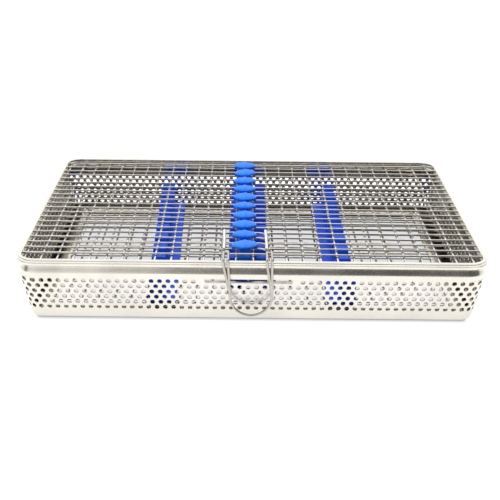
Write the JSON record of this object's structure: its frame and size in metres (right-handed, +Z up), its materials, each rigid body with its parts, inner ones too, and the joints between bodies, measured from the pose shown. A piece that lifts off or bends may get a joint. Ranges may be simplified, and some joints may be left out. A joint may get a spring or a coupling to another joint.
{
  "type": "dental instrument cassette",
  "caption": "Shallow steel tray cassette with toothed silicone racks, a hinged wire mesh lid with a hold-down strip, and a sprung wire bail latch at the front.",
  "frame": {"origin": "middle of the whole outline, hinges and bail included, on the surface that the tray stands on", "axes": "+Z up, +X along the long side towards the viewer's right, -Y towards the bail, +Y towards the hinges"},
  "size_m": [0.204, 0.1472, 0.0334],
  "materials": {
    "sheet_steel": "electropolished",
    "wire_steel": "electropolished",
    "silicone": "satin"
  },
  "bodies": {
    "tray": {"tray_shell": "sheet_steel", "floor_mesh": "wire_steel", "left_rack": "silicone", "right_rack": "silicone", "centre_rack_left": "silicone", "centre_rack_right": "silicone", "hinge_bracket_left": "sheet_steel", "hinge_bracket_right": "sheet_steel", "hinge_pin_left": "wire_steel", "hinge_pin_right": "wire_steel"},
    "lid": {"lid_frame": "sheet_steel", "lid_mesh": "wire_steel", "hold_down_strip": "silicone", "hinge_leaf_left": "sheet_steel", "hinge_leaf_right": "sheet_steel"},
    "latch": {"latch_bail": "wire_steel"}
  },
  "joints": [
    {"name": "lid_hinge", "type": "hinge", "parent": "tray", "child": "lid", "pos_m": [0, 0.072, 0.0282], "axis": [-1, 0, 0], "range_deg": [0, 110]},
    {"name": "latch_pivot", "type": "hinge", "parent": "lid", "child": "latch", "pos_m": [-0.00325, -0.0609, 0.02995], "axis": [-1, 0, 0], "range_deg": [0, 90]}
  ]
}
